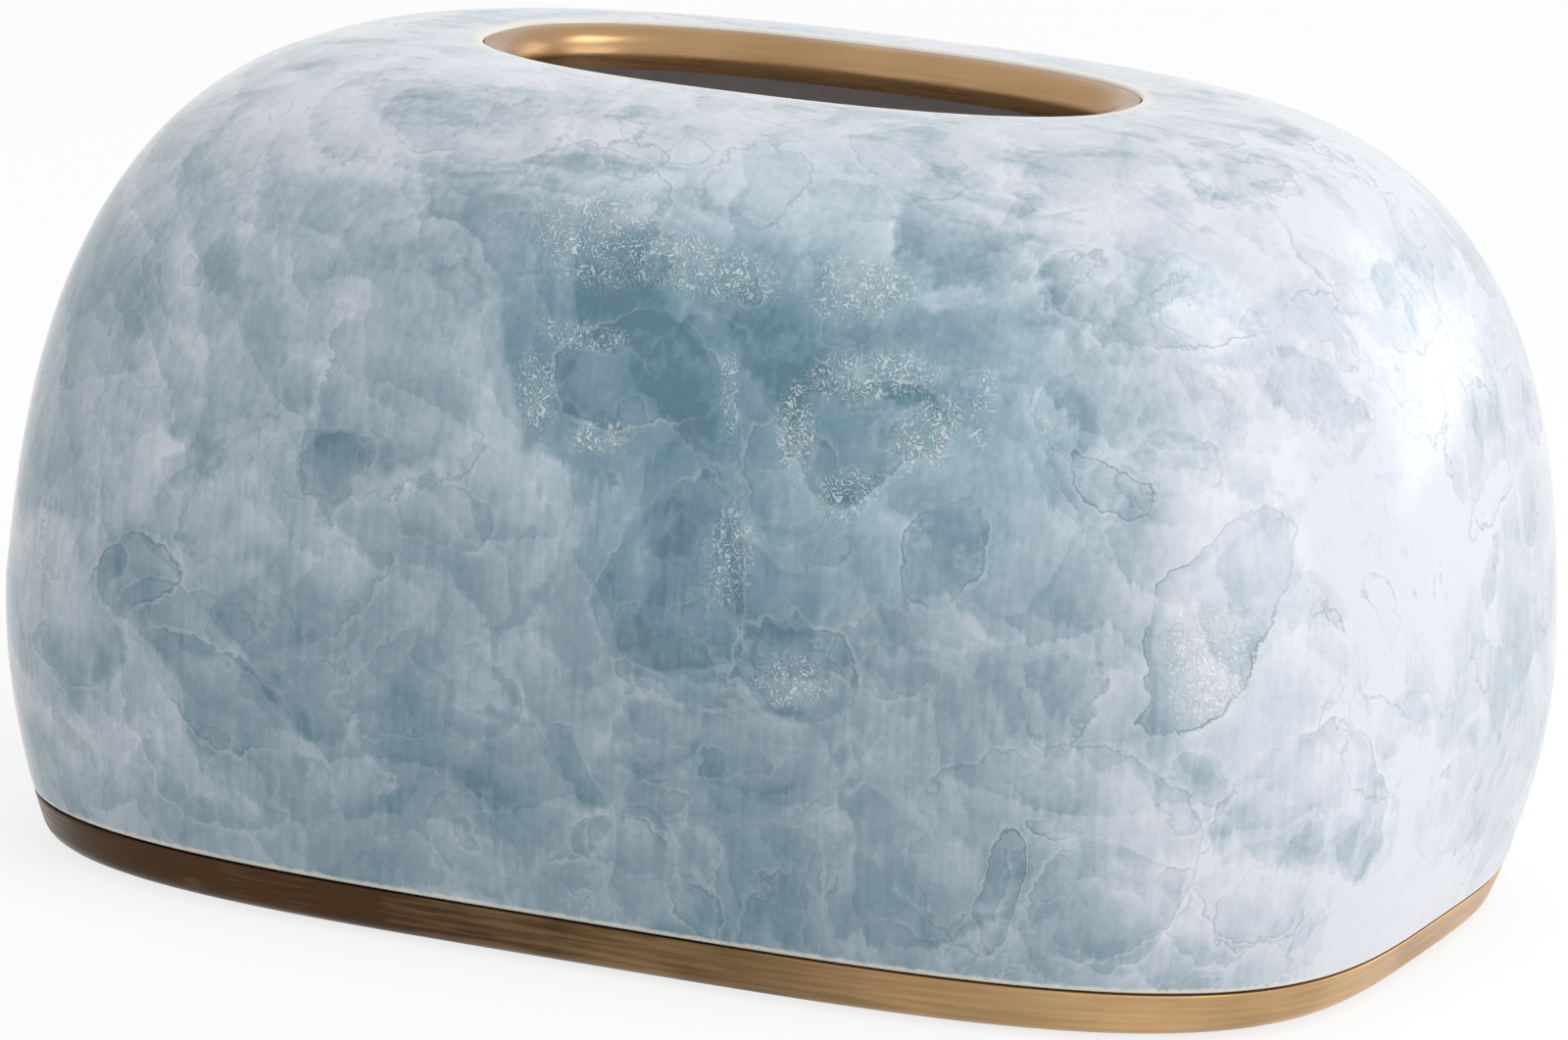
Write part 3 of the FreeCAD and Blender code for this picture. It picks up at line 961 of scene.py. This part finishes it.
def sees_white(tree):
    """1 for a ray that shows the white background: from the camera, or by way of gloss or glass."""
    rays = add_node(tree, "LightPath").outputs
    mirrored = calc(tree, "MAXIMUM", rays["Is Glossy Ray"], rays["Is Transmission Ray"])
    return calc(tree, "MAXIMUM", rays["Is Camera Ray"], mirrored)


def mixed_shaders(tree, share, first, second):
    """Mixes two shaders by a share."""
    sockets = {0: share, 1: first.outputs[0], 2: second.outputs[0]}
    return add_node(tree, "MixShader", None, sockets)


floor_paint = bpy.data.materials.new("white_floor_paint")
floor_paint.use_nodes = True
tree = floor_paint.node_tree
tree.nodes.clear()
paint = add_node(tree, "BsdfDiffuse", None, {"Color": (0.9, 0.9, 0.9, 1.0)})
glow = add_node(tree, "Emission", None, {"Color": white, "Strength": 1.0})
glow_share = product(tree, sees_white(tree), floor_glow_share)
open_below = add_node(tree, "BsdfTransparent")
underside = add_node(tree, "NewGeometry").outputs["Backfacing"]
upper_side = mixed_shaders(tree, glow_share, paint, glow)
both_sides = mixed_shaders(tree, underside, upper_side, open_below)
add_node(tree, "OutputMaterial", None, {"Surface": both_sides.outputs[0]})
floor_mesh.materials.append(floor_paint)

room_dim, room_bright = 0.53, 0.79
room_tint = (0.99, 0.995, 1.0, 1.0)
to_the_right = (0.87, -0.3, 0.39)
to_the_rear = (0.0, 1.0, 0.0)
upwards = (0.0, 0.0, 1.0)
world = bpy.data.worlds.new("studio_room")
scene.world = world
world.use_nodes = True
tree = world.node_tree
tree.nodes.clear()
direction = add_node(tree, "TexCoord").outputs["Generated"]
rightward = vector_calc(tree, "DOT_PRODUCT", direction, to_the_right)
rearward = vector_calc(tree, "DOT_PRODUCT", direction, to_the_rear)
upward = vector_calc(tree, "DOT_PRODUCT", direction, upwards)
room = eased(tree, rightward, -0.7, 0.9, room_dim, room_bright)
room = calc(tree, "MAXIMUM", room, eased(tree, rearward, 0.1, 0.75))
room = calc(tree, "MAXIMUM", room, eased(tree, upward, 0.45, 0.95))
room_light = add_node(tree, "Background", None, {"Color": room_tint, "Strength": room})
backdrop = add_node(tree, "Background", None, {"Color": white, "Strength": 1.0})
surroundings = mixed_shaders(tree, sees_white(tree), room_light, backdrop)
add_node(tree, "OutputWorld", None, {"Surface": surroundings.outputs[0]})


def soft_lamp(name, place, aim, width, height, power):
    """A flat soft lamp that looks at a point; lengths in metres, power in watts."""
    lamp = bpy.data.lights.new(name, "AREA")
    lamp.shape = "RECTANGLE"
    lamp.size, lamp.size_y = width, height
    lamp.energy = power
    holder = bpy.data.objects.new(name, lamp)
    holder.location = place
    holder.rotation_euler = (Vector(aim) - Vector(place)).to_track_quat("-Z", "Y").to_euler()
    scene.collection.objects.link(holder)


soft_lamp(
    "right_soft_lamp",
    place=(1.26, -0.63, 0.42),
    aim=(0.0, 0.0, 0.07),
    width=1.1,
    height=1.0,
    power=5.5,
)
soft_lamp(
    "overhead_soft_lamp",
    place=(0.72, -0.15, 1.35),
    aim=(0.0, 0.0, 0.1),
    width=0.65,
    height=0.65,
    power=5.0,
)
soft_lamp(
    "rear_soft_lamp",
    place=(0.95, 1.2, 0.55),
    aim=(0.0, 0.0, 0.12),
    width=0.9,
    height=0.9,
    power=3.8,
)


# Camera: a long lens a little above and to the right of the front,
# rolled slightly as in the photograph.
camera_distance = 1.400
camera_yaw = math.radians(22.454)
camera_pitch = math.radians(12.623)
camera_roll = math.radians(3.02)
aim_right, aim_up, aim_level = -0.000323, -0.008435, 0.065
sensor_width_in_mm = 36.0
focal_length_in_mm = 200.93
farthest_seen = 50.0
back = Vector(
    (
        math.sin(camera_yaw) * math.cos(camera_pitch),
        -math.cos(camera_yaw) * math.cos(camera_pitch),
        math.sin(camera_pitch),
    )
)
right = Vector((math.cos(camera_yaw), math.sin(camera_yaw), 0.0))
up = back.cross(right)
rolled_right = right * math.cos(camera_roll) + up * math.sin(camera_roll)
rolled_up = up * math.cos(camera_roll) - right * math.sin(camera_roll)
eye = Vector((0.0, 0.0, aim_level)) + right * aim_right + up * aim_up + back * camera_distance
lens = bpy.data.cameras.new("long_lens")
lens.sensor_fit = "HORIZONTAL"
lens.sensor_width = sensor_width_in_mm
lens.lens = focal_length_in_mm
lens.clip_end = farthest_seen
camera = bpy.data.objects.new("camera", lens)
turn = Matrix((rolled_right, rolled_up, back)).transposed().to_4x4()
camera.matrix_world = Matrix.Translation(eye) @ turn
scene.collection.objects.link(camera)
scene.camera = camera
